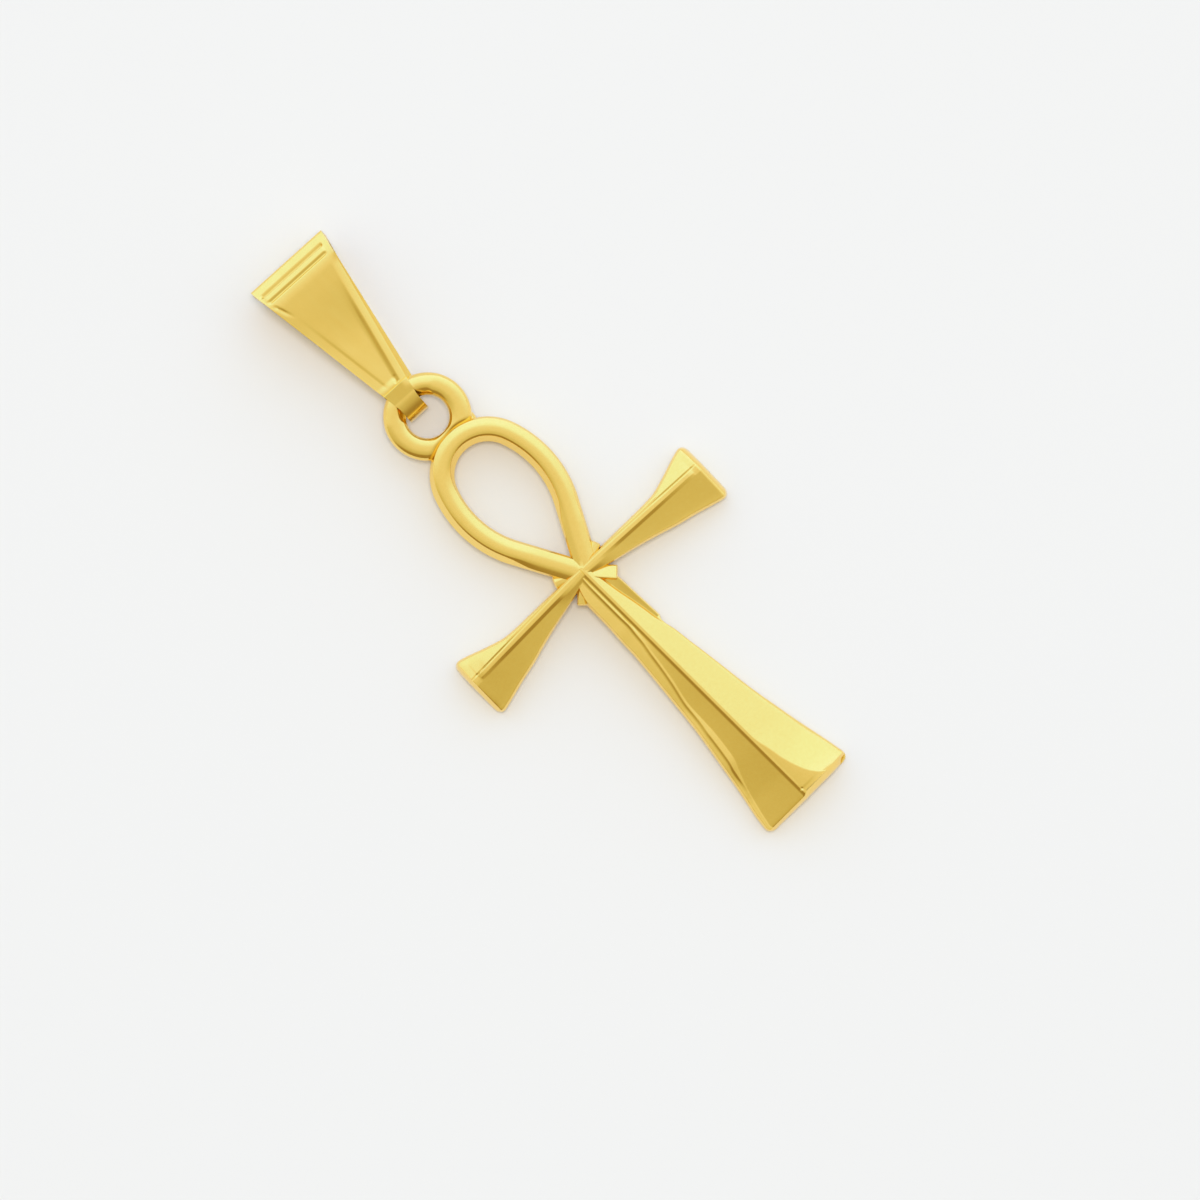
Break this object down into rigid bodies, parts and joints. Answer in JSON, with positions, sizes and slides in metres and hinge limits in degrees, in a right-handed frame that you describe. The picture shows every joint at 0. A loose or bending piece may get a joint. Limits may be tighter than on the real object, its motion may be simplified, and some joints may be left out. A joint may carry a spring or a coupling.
{
  "type": "ankh pendant",
  "caption": "Polished gold ankh pendant with a teardrop loop, ridged flared arms and stem, a soldered top ring and a folded tapered bail that swings on the ring.",
  "frame": {"origin": "the crossing of stem and arms, on the flat back face that the pendant lies on", "axes": "+X towards the right arm seen from the front, +Y from the stem's end towards the bail, +Z out of the front"},
  "size_m": [0.0144, 0.0337, 0.0027],
  "materials": {
    "gold": "polished yellow gold"
  },
  "bodies": {
    "ankh": {"ankh": "gold"},
    "bail": {"bail": "gold"}
  },
  "joints": [
    {"name": "bail_swing", "type": "hinge", "parent": "ankh", "child": "bail", "pos_m": [0, 0.01115, 0.00104], "axis": [0.9984, -0.0558, 0], "range_deg": [0, 120]}
  ]
}
